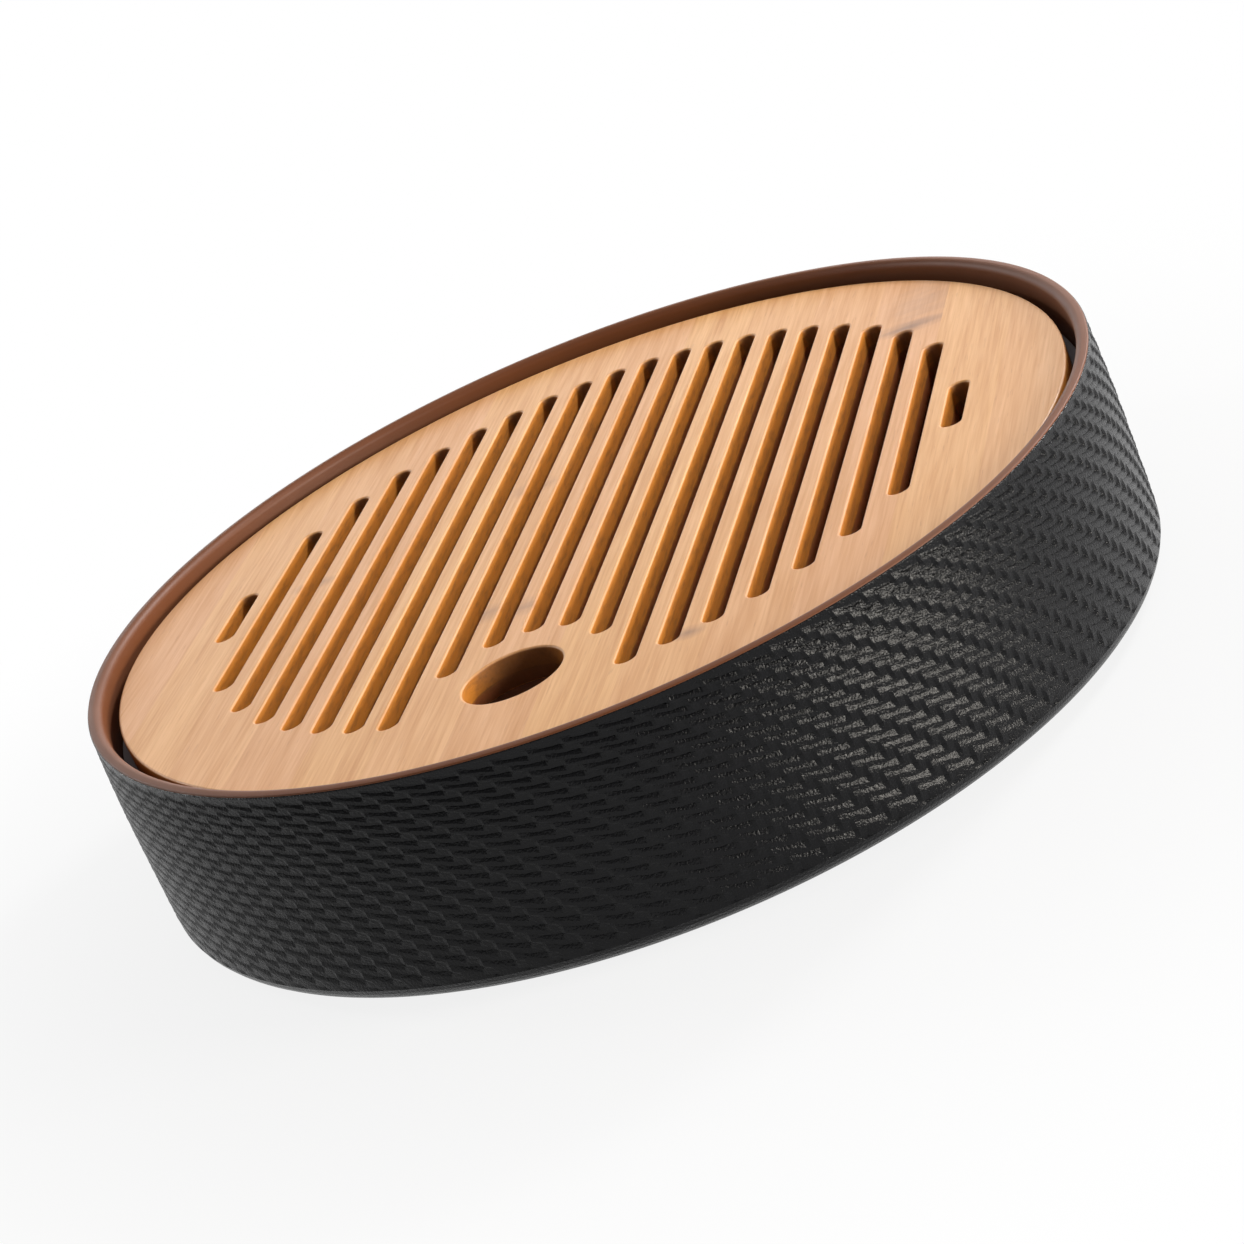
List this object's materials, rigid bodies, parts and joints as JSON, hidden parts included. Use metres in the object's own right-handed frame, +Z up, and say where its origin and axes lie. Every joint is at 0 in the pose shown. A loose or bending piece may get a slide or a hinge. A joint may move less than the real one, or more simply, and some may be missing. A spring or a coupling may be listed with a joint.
{
  "type": "draining tray",
  "caption": "Round two-wall draining tray with a loose slotted bamboo plate over its reservoir, a finger hole for lifting the plate, and rubber feet.",
  "frame": {"origin": "on the table, under the middle of the tray", "axes": "+Z up; the plate's slots run along Y and its finger hole is at the front, towards -Y"},
  "size_m": [0.2724, 0.2724, 0.06],
  "materials": {
    "black_moulding": "satin black moulding with a woven relief",
    "brown_moulding": "satin gloss brown moulding",
    "rubber": "matte black rubber",
    "bamboo": "laminated bamboo under a thin satin lacquer"
  },
  "bodies": {
    "tub": {"outer_shell": "black_moulding", "inner_basin": "brown_moulding", "seat_ring": "rubber", "foot_pad_1": "rubber", "foot_pad_2": "rubber", "foot_pad_3": "rubber", "foot_pad_4": "rubber"},
    "plate": {"bamboo_plate": "bamboo"}
  },
  "joints": [
    {"name": "plate_lift", "type": "slide", "parent": "tub", "child": "plate", "axis": [0, 0, 1], "range_m": [0, 0.1]}
  ]
}
